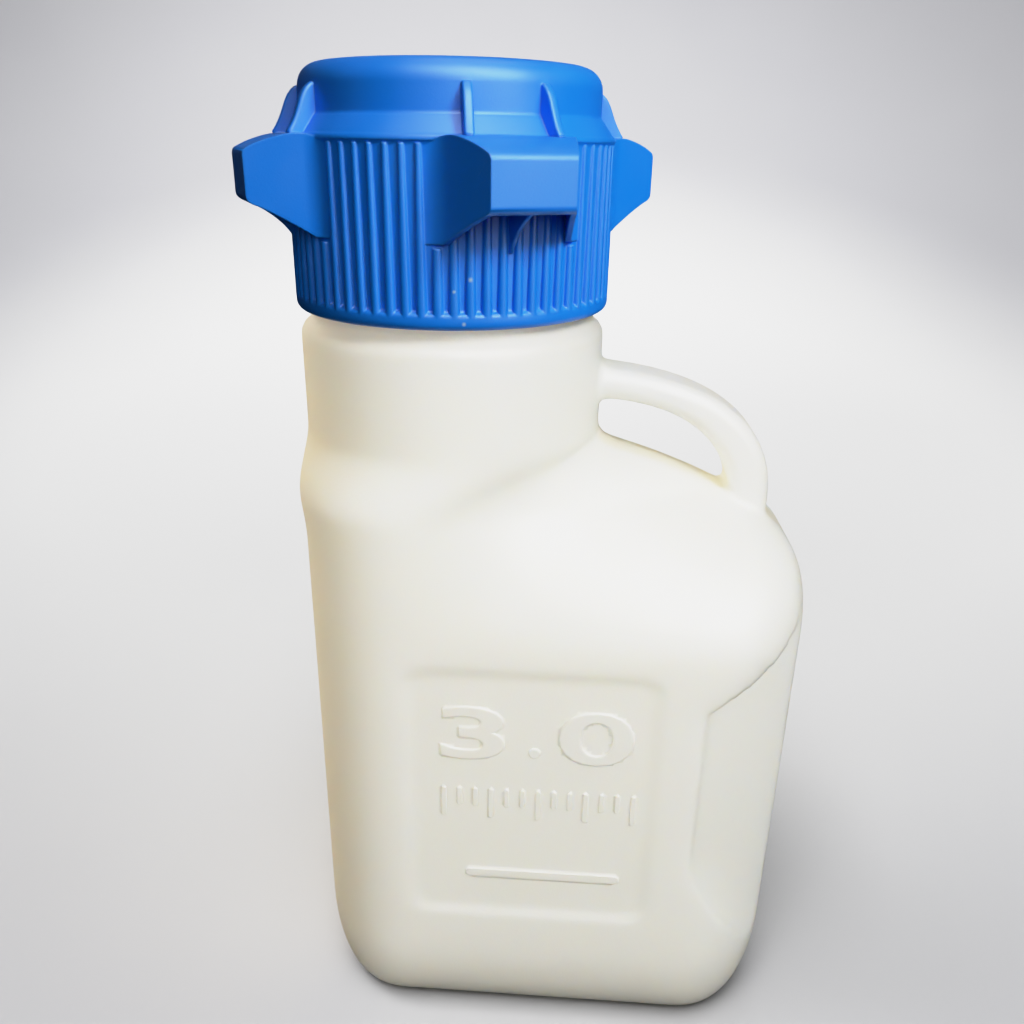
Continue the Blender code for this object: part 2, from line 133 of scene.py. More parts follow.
# The handle end's outermost point: round the shoulder, up the ridge, into the neck's wall
END_CURVE = [
    *bezier((WALL, SHOULDER_Z), (WALL, 0.1710), (0.0748, 0.1765), (0.0638, 0.1838)),
    *bezier((0.0638, 0.1838), (0.0550, 0.1900), (0.0380, 0.1972), (0.0220, 0.2016))[1:],
    *bezier((0.0220, 0.2016), (0.0150, 0.2035), (0.0115, 0.2055), (0.0115, NECK_FOOT_Z))[1:],
]
# Half the depth of that end, closing from the broad faces to the ridge
SLOPE_CURVE = bezier((HALF_DEPTH, SHOULDER_Z), (HALF_DEPTH, 0.168), (0.026, 0.176),
                     (RIDGE_HALF, NECK_SIDE_Z))


def half_outline(z, extra_inset=0.0):
    """Front half of the level outline at a height, round one disc at each end."""
    t = min(max(1.0 - z / FOOT_RISE, 0.0), 1.0)
    inset = FOOT_INSET * (1.0 - math.sqrt(1.0 - t * t)) + extra_inset
    shrink = FOOT_CORNER_SHRINK * (inset - extra_inset) + extra_inset
    turn = blend(z, NECK_SIDE_Z, NECK_FOOT_Z)
    straight = blend(z, END_WALL_BEND_Z, END_WALL_STRAIGHT_Z)
    near_x = -WALL + inset + (NECK_X - NECK_RADIUS + WALL) * straight
    near_depth = HALF_DEPTH - inset + (NECK_RADIUS - HALF_DEPTH) * turn
    near_radius = NECK_CORNER - shrink + (NECK_RADIUS - NECK_CORNER) * turn
    slope = value_at(SLOPE_CURVE, z)
    openness = max(0.0, slope - RIDGE_HALF) / (HALF_DEPTH - RIDGE_HALF)
    far_x = value_at(END_CURVE, z) - inset
    far_depth = slope - inset
    far_radius = RIDGE_HALF + (HANDLE_CORNER - RIDGE_HALF) * openness ** ROUNDING_POWER - shrink
    near = Vector((near_x + near_radius, near_radius - near_depth))
    far = Vector((far_x - far_radius, far_radius - far_depth))
    span = far - near
    lean = math.acos(max(-1.0, min(1.0, (near_radius - far_radius) / span.length)))
    tangent = math.degrees(math.atan2(span.y, span.x) - lean) % 360.0
    near_end = arc(near, near_radius, 180.0, tangent, ROUND_STEPS)
    return near_end + arc(far, far_radius, tangent, 360.0, ROUND_STEPS)


def level_ring(front, z):
    """A closed level ring: the front half spaced evenly, and its mirror image behind."""
    points = np.array(front)
    along = np.concatenate([[0.0], np.cumsum(np.linalg.norm(np.diff(points, axis=0), axis=1))])
    places = np.linspace(0.0, along[-1], RING_HALF + 1)
    even = [tuple(float(np.interp(place, along, points[:, i])) for i in (0, 1)) for place in places]
    back = [(x, -y) for x, y in reversed(even[1:-1])]
    return [Vector((x, y, z)) for x, y in even + back]


foot_levels = [FOOT_RISE * (1.0 - math.cos(turn)) for turn in np.radians(np.linspace(0, 90, 14))]
side_levels = list(np.linspace(FOOT_RISE, SHOULDER_Z, 12)[1:])
shoulder_levels = list(np.linspace(SHOULDER_Z, NECK_SIDE_Z, 28)[1:])
ridge_levels = list(np.linspace(NECK_SIDE_Z, NECK_FOOT_Z, 36)[1:])
neck_levels = list(np.linspace(0.212, 0.234, 8))
outlines = [level_ring(half_outline(0.0, inset), z) for inset, z in BASE_LEVELS]
for z in foot_levels + side_levels + shoulder_levels + ridge_levels:
    outlines.append(level_ring(half_outline(z), z))
neck_profile = [(NECK_RADIUS, z) for z in neck_levels]
neck_profile += arc((FINISH_RADIUS, COLLAR_Z - COLLAR_ROUND), COLLAR_ROUND, 0.0, 90.0, 8)[:-1]
neck_profile += [(FINISH_RADIUS, COLLAR_Z + 0.0002), (FINISH_RADIUS, FINISH_TOP_Z),
                 (MOUTH_RADIUS, FINISH_TOP_Z + 0.003), (MOUTH_RADIUS, MOUTH_Z)]
for radius, z in neck_profile:
    outlines.append(level_ring(arc((NECK_X, 0.0), radius, 180.0, 360.0, RING_HALF), z))
bottle = skin("carboy_bottle", outlines)


def cut(piece, tool, operation="DIFFERENCE"):
    """Cut, join or trim a piece with a closed tool, and throw the tool away."""
    pick(piece)
    modifier = piece.modifiers.new("cut", "BOOLEAN")
    modifier.object = tool
    modifier.operation = operation
    modifier.solver = "EXACT"
    bpy.ops.object.modifier_apply(modifier=modifier.name)
    bpy.data.objects.remove(tool)


# STRAP HANDLE
# The strap is blown with the bottle. It leaves the neck below the collar, arches over the
# shoulder as a band 20 mm wide with rounded edges, and runs down into the handle end.
STRAP_HALF = 0.010
STRAP_EDGE = 0.0042
STRAP_RINGS = 40
strap_outer = bezier((0.0060, 0.2285), (0.0520, 0.2264), (0.0730, 0.2080), (0.0650, 0.1740), STRAP_RINGS)
strap_inner = bezier((0.0060, 0.2183), (0.0450, 0.2190), (0.0570, 0.2000), (0.0552, 0.1740), STRAP_RINGS)


def rounded_box(left, right, low, high, radius, steps):
    """Points of a rectangle with round corners, in a plane."""
    corners = ((right - radius, high - radius, 0), (left + radius, high - radius, 90),
               (left + radius, low + radius, 180), (right - radius, low + radius, 270))
    points = []
    for x, y, start in corners:
        points += arc((x, y), radius, start, start + 90, steps)
    return points


def strap_ring(outer, inner):
    """Section across the strap between its outer and inner edges."""
    middle = (Vector(outer) + Vector(inner)) / 2
    across = (Vector(outer) - Vector(inner)) / 2
    half = across.length
    across.normalize()
    ring = []
    for y, out in rounded_box(-STRAP_HALF, STRAP_HALF, -half, half, STRAP_EDGE, 6):
        point = middle + across * out
        ring.append(Vector((point.x, y, point.y)))
    return ring


strap = skin("strap", [strap_ring(outer, inner) for outer, inner in zip(strap_outer, strap_inner)])
cut(bottle, strap, "UNION")

# GRIPS AND LABEL PANELS
# The mould presses a finger grip into each corner of the handle end: a flat floor under a
# sloping ledge, which runs out below in a rounded bowl. Each broad face has a sunk panel.
GRIP_LEFT_X = 0.0465
GRIP_STEP = 0.0026
GRIP_END_ANGLE = 21.0
GRIP_LEDGE_Z = 0.1335
GRIP_LEDGE_SLOPE = 0.685
GRIP_CORNER = 0.0045
BOWL_RADIUS = 0.022
BOWL_START = Vector((-0.0034, 0.0, 0.0906))
BOWL_TURN = math.radians(50)
GRIP_WIDTH = 0.046
GRIP_REACH = 0.030
FLOOR_REACH = 0.160
TOOL_HALF_WIDTH = 0.150
PANEL_BOX = (-0.0438, 0.0332, 0.0510, 0.1445)
PANEL_CORNER = 0.006
PANEL_SINK = 0.0011
PANEL_DRAFT = 0.0011


def grip_ring(slide):
    """Section of the grip tool: flat floor, then the bowl's arc, closed well outside."""
    down = Vector((-math.sin(BOWL_TURN), 0.0, -math.cos(BOWL_TURN)))
    across = Vector((math.cos(BOWL_TURN), 0.0, -math.sin(BOWL_TURN)))
    bowl = arc((0.0, BOWL_RADIUS), BOWL_RADIUS, -90.0, -50.0, 24)
    section = [(-FLOOR_REACH, GRIP_REACH), (-FLOOR_REACH, 0.0), *bowl, (bowl[-1][0], GRIP_REACH)]
    start = BOWL_START + across * slide
    return [start + down * along + Vector((0.0, -out, 0.0)) for along, out in section]


def trim(point, normal):
    """Cut the piece being edited with a plane and close it, losing what the normal points at."""
    bpy.ops.mesh.select_all(action="SELECT")
    bpy.ops.mesh.bisect(plane_co=point, plane_no=normal, use_fill=True, clear_outer=True)


grip = skin("grip_tool", [grip_ring(-TOOL_HALF_WIDTH), grip_ring(TOOL_HALF_WIDTH)])
bpy.ops.object.mode_set(mode="EDIT")
trim((0.0, 0.0, 0.0), (-1.0, 0.0, 0.0))
trim((GRIP_WIDTH, 0.0, 0.0), (1.0, 0.0, 0.0))
trim((0.0, 0.0, GRIP_LEDGE_Z), (-GRIP_LEDGE_SLOPE, 0.0, 1.0))
bpy.ops.mesh.select_all(action="DESELECT")
mesh = bmesh.from_edit_mesh(grip.data)
for edge in mesh.edges:
    low, high = sorted((edge.verts[0].co.y, edge.verts[1].co.y))
    middle = (edge.verts[0].co + edge.verts[1].co) / 2
    on_corner = abs(middle.x) < 1e-5 and abs(middle.z - GRIP_LEDGE_Z) < 1e-5
    edge.select = on_corner and high - low > 0.01
bmesh.update_edit_mesh(grip.data)
bpy.ops.mesh.bevel(offset=GRIP_CORNER, segments=6)
bpy.ops.object.mode_set(mode="OBJECT")
# The floor runs from the broad face, where it is one step deep, to the round corner's surface
corner = Vector((WALL - HANDLE_CORNER, HANDLE_CORNER - HALF_DEPTH, 0.0))
end_angle = math.radians(-GRIP_END_ANGLE)
grip_start = Vector((GRIP_LEFT_X, GRIP_STEP - HALF_DEPTH, 0.0))
grip_end = corner + HANDLE_CORNER * Vector((math.cos(end_angle), math.sin(end_angle), 0.0))
grip_turn = math.atan2(grip_end.y - grip_start.y, grip_end.x - grip_start.x)
grip.data.transform(Matrix.Translation(grip_start) @ Matrix.Rotation(grip_turn, 4, "Z"))
pick(grip)
bpy.ops.object.duplicate()
back_grip = bpy.context.object
back_grip.data.transform(Matrix.Diagonal((1.0, -1.0, 1.0, 1.0)))
back_grip.data.flip_normals()
cut(bottle, grip)
cut(bottle, back_grip)


def panel_ring(grow, y):
    """Outline of the label panel, grown or shrunk, at one depth."""
    left, right, low, high = PANEL_BOX
    outline = rounded_box(left - grow, right + grow, low - grow, high + grow, PANEL_CORNER + grow, 8)
    return [Vector((x, y, z)) for x, z in outline]


for side in (-1, 1):
    floor_y = side * (HALF_DEPTH - PANEL_SINK)
    lip_y = side * (HALF_DEPTH + PANEL_SINK)
    panel = skin("panel_tool", [panel_ring(-PANEL_DRAFT, floor_y), panel_ring(3 * PANEL_DRAFT, lip_y)])
    cut(bottle, panel)

# Blow moulding leaves every edge and joint softly rounded, and the grip's ledge most of all
VOXEL = 0.00142
SOFTEN_PASSES = 4
LEDGE_PASSES = 7
LEDGE_LEFT_X = 0.040
LEDGE_LOW_Z = 0.116
LEDGE_HIGH_Z = 0.160


def soften(piece, passes, group=""):
    """Smooth a piece, all over or in one group of its points."""
    modifier = piece.modifiers.new("soften", "SMOOTH")
    modifier.vertex_group = group
    modifier.factor = 0.5
    modifier.iterations = passes
    bpy.ops.object.modifier_apply(modifier="soften")


pick(bottle)
remesh = bottle.modifiers.new("even", "REMESH")
remesh.mode = "VOXEL"
remesh.voxel_size = VOXEL
bpy.ops.object.modifier_apply(modifier="even")
soften(bottle, SOFTEN_PASSES)
ledge = bottle.vertex_groups.new(name="ledge")
near_ledge = [vertex.index for vertex in bottle.data.vertices
              if vertex.co.x > LEDGE_LEFT_X and LEDGE_LOW_Z < vertex.co.z < LEDGE_HIGH_Z]
ledge.add(near_ledge, 1.0, "REPLACE")
soften(bottle, LEDGE_PASSES, "ledge")
bottle.vertex_groups.clear()
bpy.ops.object.shade_smooth()

# RAISED MARKS
# The mould cuts a few plain marks into the panels, which stand out under a millimetre:
# two numerals and a dot, a row of level ticks, and a long bead below them.
MARK_HEIGHT = 0.0006
MARK_ROOT = 0.0012
MARK_SOFT = 0.00035
MARK_FACE = HALF_DEPTH - PANEL_SINK
NUMERAL_LEVELS = (0.1130, 0.1324)
THREE_SIDES = (-0.0337, -0.0136)
NOUGHT_SIDES = (0.0030, 0.0260)
DOT_BOX = (-0.0062, -0.0026, 0.1146, 0.1182)
BEAD_BOX = (-0.0260, 0.0245, 0.0660, 0.0690)
BEAD_ROUND = 0.96
TICK_COUNT = 13
TICK_LEFT = -0.0335
TICK_PITCH = 0.0050
TICK_WIDTH = 0.0014
TICK_TOP = 0.1020
LONG_TICK_FOOT = 0.0905
SHORT_TICK_FOOT = 0.0950


def numeral(text, left, right, low, high):
    """One numeral of the built-in typeface, stretched to fill a box on the panel."""
    bpy.ops.object.text_add()
    piece = bpy.context.object
    piece.data.body = text
    piece.data.extrude = 0.08
    piece.data.bevel_depth = 0.02
    piece.data.bevel_resolution = 2
    piece.data.resolution_u = 5
    pick(piece)
    bpy.ops.object.convert(target="MESH")
    points = np.array([vertex.co for vertex in piece.data.vertices])
    least = points.min(axis=0)
    most = points.max(axis=0)
    width = (right - left) / (most[0] - least[0])
    height = (high - low) / (most[1] - least[1])
    depth = (MARK_HEIGHT + MARK_ROOT) / (most[2] - least[2])
    for vertex in piece.data.vertices:
        x, y, out = vertex.co
        vertex.co = (left + (x - least[0]) * width, -MARK_FACE + MARK_ROOT - (out - least[2]) * depth,
                     low + (y - least[1]) * height)
    bpy.ops.object.mode_set(mode="EDIT")
    bpy.ops.mesh.select_all(action="SELECT")
    bpy.ops.mesh.remove_doubles(threshold=0.00002)
    bpy.ops.mesh.normals_make_consistent(inside=False)
    bpy.ops.object.mode_set(mode="OBJECT")
    return piece


def bead(left, right, low, high):
    """A raised bar with round ends and soft edges."""
    outline = rounded_box(left, right, low, high, min(right - left, high - low) / 2 * BEAD_ROUND, 5)
    middle = Vector(((left + right) / 2, (low + high) / 2))
    bend = 0.3 * MARK_SOFT
    rings = []
    for inset, out in ((0.0, -MARK_ROOT), (0.0, MARK_HEIGHT - MARK_SOFT), (bend, MARK_HEIGHT - bend),
                       (MARK_SOFT, MARK_HEIGHT)):
        ring = []
        for x, z in outline:
            away = Vector((x, z)) - middle
            point = middle + away * (1.0 - inset / away.length)
            ring.append(Vector((point.x, -MARK_FACE - out, point.y)))
        rings.append(ring)
    return skin("bead", rings)


marks = [numeral("3", *THREE_SIDES, *NUMERAL_LEVELS), numeral("0", *NOUGHT_SIDES, *NUMERAL_LEVELS),
         bead(*DOT_BOX)]
for i in range(TICK_COUNT):
    tick_x = TICK_LEFT + i * TICK_PITCH
    tick_foot = SHORT_TICK_FOOT if i % 3 else LONG_TICK_FOOT
    marks.append(bead(tick_x, tick_x + TICK_WIDTH, tick_foot, TICK_TOP))
marks.append(bead(*BEAD_BOX))
pick(*marks)
bpy.ops.object.join()
front_marks = bpy.context.object
pick(front_marks)
bpy.ops.object.duplicate()
back_marks = bpy.context.object
# A half turn about the panel's middle puts the same marks on the back
half_turn = Matrix.Rotation(math.pi, 4, "Z")
back_marks.data.transform(Matrix.Translation((PANEL_BOX[0] + PANEL_BOX[1], 0.0, 0.0)) @ half_turn)
cut(bottle, front_marks, "UNION")
cut(bottle, back_marks, "UNION")

# MILKY POLYETHYLENE
# The bottle's wall lets light in and scatters it, so shaded sides stay soft and warm. It has
# a dull sheen, a fine mould grain, a parting line all round, and light scuffs from use.


def node(tree, kind, inputs, **settings):
    """Add a shader node with its settings, and link or set its inputs by name or number."""
    made = tree.nodes.new("ShaderNode" + kind)
    for name, value in settings.items():
        setattr(made, name, value)
    for key, value in inputs.items():
        if isinstance(value, bpy.types.NodeSocket):
            tree.links.new(value, made.inputs[key])
        else:
            made.inputs[key].default_value = value
    return made


def sum_of(tree, operation, *values):
    """Result of one Math node."""
    return node(tree, "Math", dict(enumerate(values)), operation=operation).outputs[0]


def noise(tree, place, scale, detail, **inputs):
    """Grey values of one noise pattern."""
    inputs.update({"Vector": place, "Scale": scale, "Detail": detail})
    return node(tree, "TexNoise", inputs).outputs["Fac"]


def mixed(tree, share, first, second):
    """Colour between two colours."""
    return node(tree, "Mix", {0: share, 6: first, 7: second}, data_type="RGBA").outputs[2]


def fade(tree, value, start, end, low=0.0, high=1.0):
    """Smooth change from low to high while a value goes from start to end."""
    inputs = {"Value": value, "From Min": start, "From Max": end, "To Min": low, "To Max": high}
    return node(tree, "MapRange", inputs, interpolation_type="SMOOTHSTEP").outputs["Result"]


def new_group(name, inputs, outputs):
    """An empty node group with named sockets; returns it with its own input and output sockets."""
    group = bpy.data.node_groups.new(name, "ShaderNodeTree")
    for title, kind, value in inputs:
        socket = group.interface.new_socket(title, in_out="INPUT", socket_type=kind)
        if value is not None:
            socket.default_value = value
    for title in outputs:
        group.interface.new_socket(title, in_out="OUTPUT", socket_type="NodeSocketFloat")
    return group, group.nodes.new("NodeGroupInput").outputs, group.nodes.new("NodeGroupOutput").inputs


# Moulded grain: fine pits from the mould's blasted face, over slow waves in the wall
grain, given, result = new_group(
    "moulded grain",
    [("Place", "NodeSocketVector", None), ("Pit Size", "NodeSocketFloat", 0.0006),
     ("Wave Size", "NodeSocketFloat", 0.02), ("Wave Share", "NodeSocketFloat", 0.5)],
    ["Height", "Patches"])
pit_scale = sum_of(grain, "DIVIDE", 1.0, given["Pit Size"])
wave_scale = sum_of(grain, "DIVIDE", 1.0, given["Wave Size"])
pits = noise(grain, given["Place"], pit_scale, 2.0, Roughness=0.6)
waves = noise(grain, given["Place"], wave_scale, 1.0)
height = node(grain, "Mix", {"Factor": given["Wave Share"], "A": pits, "B": waves})
grain.links.new(height.outputs["Result"], result["Height"])
grain.links.new(fade(grain, waves, 0.3, 0.7), result["Patches"])

# Handling marks: short fine scratches in loose groups, and soft rubbed patches
wear, given, result = new_group(
    "handling marks",
    [("Place", "NodeSocketVector", None), ("Length", "NodeSocketFloat", 0.012),
     ("Amount", "NodeSocketFloat", 0.5)],
    ["Scratches", "Rubs"])
scratch_scale = sum_of(wear, "DIVIDE", 1.0, given["Length"])
lines = 0.0
for tilt in ((0.3, 0.5, 0.2), (1.2, -0.4, 0.9)):
    tilted = node(wear, "VectorRotate", {"Vector": given["Place"], "Rotation": tilt},
                  rotation_type="EULER_XYZ")
    stretched = node(wear, "VectorMath", {0: tilted.outputs[0], 1: (1.0, 14.0, 14.0)},
                     operation="MULTIPLY")
    streak = noise(wear, stretched.outputs[0], scratch_scale, 1.0, Distortion=0.4)
    off = sum_of(wear, "ABSOLUTE", sum_of(wear, "SUBTRACT", streak, 0.5))
    lines = sum_of(wear, "MAXIMUM", lines, fade(wear, off, 0.0, 0.006, 1.0, 0.0))
gather = noise(wear, given["Place"], 42.0, 2.0)
least = sum_of(wear, "SUBTRACT", 0.70, sum_of(wear, "MULTIPLY", given["Amount"], 0.2))
wear.links.new(sum_of(wear, "MULTIPLY", lines, fade(wear, gather, least, 0.75)), result["Scratches"])
rub = fade(wear, noise(wear, given["Place"], 19.0, 3.0, Roughness=0.55), 0.45, 0.75)
wear.links.new(sum_of(wear, "MULTIPLY", rub, given["Amount"]), result["Rubs"])


def place_group(tree, group, inputs):
    """Put a node group in a material, with its own values."""
    return node(tree, "Group", inputs, node_tree=group).outputs


def new_material(name):
    """A material with its tree, its shader and its object coordinates."""
    made = bpy.data.materials.new(name)
    made.use_nodes = True
    tree = made.node_tree
    place = tree.nodes.new("ShaderNodeTexCoord").outputs["Object"]
    return made, tree, tree.nodes["Principled BSDF"], place


MILK = (0.85, 0.855, 0.79, 1.0)
MILK_THICK_AND_SHADED = (0.83, 0.785, 0.65, 1.0)
RIDGE_SLOPE = 0.426
RIDGE_LEVEL = 0.211
SEAM_HALF = 0.00035
milky, tree, shader, place = new_material("milky polyethylene")
mould = place_group(tree, grain, {"Place": place, "Pit Size": 0.0007, "Wave Size": 0.018,
                                  "Wave Share": 0.8})
used = place_group(tree, wear, {"Place": place, "Length": 0.016, "Amount": 0.6})
axes = node(tree, "SeparateXYZ", {"Vector": place}).outputs
from_middle = sum_of(tree, "ABSOLUTE", axes["Y"])
# Warmer and darker towards the base and the neck end: partly thicker plastic, partly painted shade
thick_and_shade = sum_of(tree, "MAXIMUM", fade(tree, axes["Z"], 0.050, 0.0, 0.0, 0.55),
               fade(tree, axes["X"], -0.045, -0.080, 0.0, 0.75))
thick_and_shade = sum_of(tree, "ADD", thick_and_shade, fade(tree, noise(tree, place, 14.0, 2.0), 0.35, 0.70, -0.03, 0.04))
# Painted shadow: a warm, darker band round the neck just under the cap, where the cap shades it
thick_and_shade = sum_of(tree, "MAXIMUM", thick_and_shade, fade(tree, axes["Z"], 0.2345, 0.2410, 0.0, 0.6))
# Painted shadow: the ridge top under the strap is tinted darker, standing in for the strap's shade
ridge = sum_of(tree, "ADD", axes["Z"], sum_of(tree, "MULTIPLY", axes["X"], RIDGE_SLOPE))
from_ridge = sum_of(tree, "ABSOLUTE", sum_of(tree, "SUBTRACT", ridge, RIDGE_LEVEL))
painted_strap_shadow = sum_of(tree, "MULTIPLY", fade(tree, from_ridge, 0.004, 0.009, 1.0, 0.0),
              fade(tree, from_middle, 0.004, 0.009, 1.0, 0.0))
painted_strap_shadow = sum_of(tree, "MULTIPLY", painted_strap_shadow, fade(tree, axes["X"], 0.008, 0.014))
colour = mixed(tree, sum_of(tree, "MAXIMUM", thick_and_shade, painted_strap_shadow), MILK, MILK_THICK_AND_SHADED)
tree.links.new(colour, shader.inputs["Base Color"])
gloss = sum_of(tree, "ADD", fade(tree, mould["Patches"], 0.0, 1.0, 0.36, 0.43),
               sum_of(tree, "MULTIPLY", used["Rubs"], 0.10))
gloss = sum_of(tree, "ADD", gloss, sum_of(tree, "MULTIPLY", used["Scratches"], 0.15))
tree.links.new(gloss, shader.inputs["Roughness"])
seam = fade(tree, from_middle, 0.0, SEAM_HALF, 1.0, 0.0)
relief = sum_of(tree, "ADD", mould["Height"], sum_of(tree, "MULTIPLY", seam, 0.9))
relief = sum_of(tree, "SUBTRACT", relief, sum_of(tree, "MULTIPLY", used["Scratches"], 0.12))
bump = node(tree, "Bump", {"Height": relief, "Distance": 0.00016, "Strength": 1.0})
tree.links.new(bump.outputs["Normal"], shader.inputs["Normal"])
shader.inputs["Subsurface Weight"].default_value = 0.45
shader.inputs["Subsurface Radius"].default_value = (1.0, 0.85, 0.60)
shader.inputs["Subsurface Scale"].default_value = 0.055
shader.inputs["Specular IOR Level"].default_value = 0.5
bottle.data.materials.clear()
bottle.data.materials.append(milky)
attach(bottle, "root")
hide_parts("bottle")

# CAP
# The cap is one injection moulding in blue polypropylene. Its skirt stands on a smooth
# foot band, and a sloping shelf leads in to a low dome with a gate mark in its middle.
CAP_FOOT_Z = 0.2454
CAP_TOP_Z = 0.3111
SKIRT_RADIUS = 0.047
BAND_Z = 0.2493
RIB_TOP_Z = 0.2908
ROOT_FOOT_RADIUS = 0.0457
ROOT_TOP_RADIUS = 0.0462
SHELF_Z = 0.2938
DOME_RADIUS = 0.0427
DOME_FOOT_Z = 0.2971
DOME_ROUND = 0.006
SHELF_ROUND = 0.0016
BORE_RADIUS = 0.0426
CEILING_Z = 0.3083
# Four steps to each rib
CAP_STEPS = 272


def turned(name, profile, steps, axis_x, merge):
    """Lay a circle on a profile of (radius, height) points, open it at its ends and spin it."""
    piece = add_ring([Vector((axis_x + radius, 0.0, z)) for radius, z in profile])
    piece.name = name
    pick(piece)
    bpy.ops.object.mode_set(mode="EDIT")
    bpy.ops.mesh.select_all(action="DESELECT")
    mesh = bmesh.from_edit_mesh(piece.data)
    for edge in mesh.edges:
        edge.select = {vertex.index for vertex in edge.verts} == {0, len(profile) - 1}
    bmesh.update_edit_mesh(piece.data)
    bpy.ops.mesh.delete(type="EDGE")
    bpy.ops.mesh.select_all(action="SELECT")
    bpy.ops.mesh.spin(steps=steps, angle=2 * math.pi, center=(axis_x, 0.0, 0.0), axis=(0.0, 0.0, 1.0))
    bpy.ops.mesh.select_all(action="SELECT")
    bpy.ops.mesh.remove_doubles(threshold=merge)
    bpy.ops.mesh.normals_make_consistent(inside=False)
    bpy.ops.object.mode_set(mode="OBJECT")
    return piece


# Gate mark, crowned top, rounded edge, dome wall, cove, shelf, skirt, band and rim
cap_profile = [(0.0, CAP_TOP_Z - 0.0002), (0.0008, CAP_TOP_Z - 0.0003), (0.0010, CAP_TOP_Z - 0.0007),
               (0.0036, CAP_TOP_Z - 0.0007), (0.0042, CAP_TOP_Z - 0.0001), (0.0050, CAP_TOP_Z),
               (0.0160, CAP_TOP_Z - 0.0001), (0.0280, CAP_TOP_Z - 0.0003)]
cap_profile += arc((DOME_RADIUS - DOME_ROUND, CAP_TOP_Z - 0.0006 - DOME_ROUND), DOME_ROUND,
                   86.0, 0.0, 12)
cap_profile += arc((DOME_RADIUS + 0.0016, DOME_FOOT_Z + 0.0012), 0.0016, 180.0, 236.0, 5)
cap_profile += arc((SKIRT_RADIUS - SHELF_ROUND, SHELF_Z - 0.0021), SHELF_ROUND, 60.0, -6.0, 7)
cap_profile += [(0.0466, RIB_TOP_Z + 0.00035), (ROOT_TOP_RADIUS, RIB_TOP_Z - 0.0007),
                (ROOT_FOOT_RADIUS, 0.2512)]
cap_profile += bezier((ROOT_FOOT_RADIUS, 0.2506), (0.0458, 0.2499), (SKIRT_RADIUS, 0.2500),
                      (SKIRT_RADIUS, 0.2488), 7)
cap_profile += bezier((SKIRT_RADIUS, 0.2480), (SKIRT_RADIUS, 0.2464), (0.0463, CAP_FOOT_Z),
                      (0.0450, CAP_FOOT_Z), 8)
cap_profile += [(BORE_RADIUS + 0.0004, CAP_FOOT_Z), (BORE_RADIUS, CAP_FOOT_Z + 0.0004),
                (BORE_RADIUS, 0.2920)]
cap_profile += [(0.0400, 0.2946), (0.0400, 0.3060), (0.0380, CEILING_Z), (0.0, CEILING_Z)]
cap = turned("screw_cap", cap_profile, CAP_STEPS, NECK_X, 0.000002)

# CAP RIBS
# Sixty-eight half-round grip ribs run up the skirt from its foot band. Each one narrows
# upwards, on a skirt that leans out a little, and stops square under the shelf.
RIB_COUNT = 68
RIB_HALF_FOOT = 0.00150
RIB_HALF_TOP = 0.00078
RIB_CREST = 0.0470
RIB_ROOT_DEPTH = 0.0012
RIB_SINK = 0.0002
SHORT_TOP_Z = 0.2662
SHORT_SHARE = (SHORT_TOP_Z - BAND_Z) / (RIB_TOP_Z - BAND_Z)
SHORT_FROM = 20.0
SHORT_TO = 26.5
WING_COUNT = 4
WING_AZIMUTH = -63.8


def settle(piece):
    """Sort a mesh by the places of its points, as a boolean leaves them in no fixed order."""
    points = np.array([vertex.co for vertex in piece.data.vertices])
    order = np.lexsort(points.T)
    rank = np.argsort(order)
    faces = []
    for face in piece.data.polygons:
        ring = [int(rank[index]) for index in face.vertices]
        start = ring.index(min(ring))
        faces.append(ring[start:] + ring[:start])
    piece.data.clear_geometry()
    piece.data.from_pydata(points[order].tolist(), [], sorted(faces))


def add_to_cap(piece, turns):
    """Copy a piece, each with its own mesh, to turns about the neck's axis and join them on."""
    settle(piece)
    made = []
    for degrees in turns:
        pick(piece)
        bpy.ops.object.duplicate()
        copy = bpy.context.object
        turn = Matrix.Rotation(math.radians(degrees), 4, "Z")
        copy.data.transform(Matrix.Translation((NECK_X, 0.0, 0.0)) @ turn)
        made.append(copy)
    bpy.data.objects.remove(piece)
    pick(*made)
    bpy.ops.object.join()
    cut(cap, bpy.context.object, "UNION")
    settle(cap)


def rib_section(half, root, z):
    """Section of a rib, a little fuller than a half circle, rooted inside the skirt."""
    ring = [Vector((root - RIB_ROOT_DEPTH, -half, z))]
    for turn in np.radians(np.linspace(0, 180, 9)):
        across = -half * math.copysign(abs(math.cos(turn)) ** 0.8, math.cos(turn))
        rise = (RIB_CREST - root + RIB_SINK) * math.sin(turn) ** 0.75
        ring.append(Vector((root - RIB_SINK + rise, across, z)))
    return ring + [Vector((root - RIB_ROOT_DEPTH, half, z))]


rib = skin("rib", [rib_section(RIB_HALF_FOOT, ROOT_FOOT_RADIUS, BAND_Z - 0.0008),
                   rib_section(RIB_HALF_TOP, ROOT_TOP_RADIUS, RIB_TOP_Z)])
short_root = ROOT_FOOT_RADIUS + SHORT_SHARE * (ROOT_TOP_RADIUS - ROOT_FOOT_RADIUS)
short_half = RIB_HALF_FOOT + SHORT_SHARE * (RIB_HALF_TOP - RIB_HALF_FOOT)
short_rib = skin("short_rib", [rib_section(RIB_HALF_FOOT, ROOT_FOOT_RADIUS, BAND_Z - 0.0008),
                               rib_section(short_half, short_root, SHORT_TOP_Z)])
# The rib beside each flank of a wing is a short one, which stops under the wing's foot
full_turns = []
short_turns = []
for i in range(RIB_COUNT):
    turn = i * 360.0 / RIB_COUNT
    from_wing = abs((turn + 90.0) % 90.0 - 45.0)
    turns = short_turns if SHORT_FROM < from_wing < SHORT_TO else full_turns
    turns.append(WING_AZIMUTH + 45.0 + turn)
add_to_cap(rib, full_turns)
add_to_cap(short_rib, short_turns)

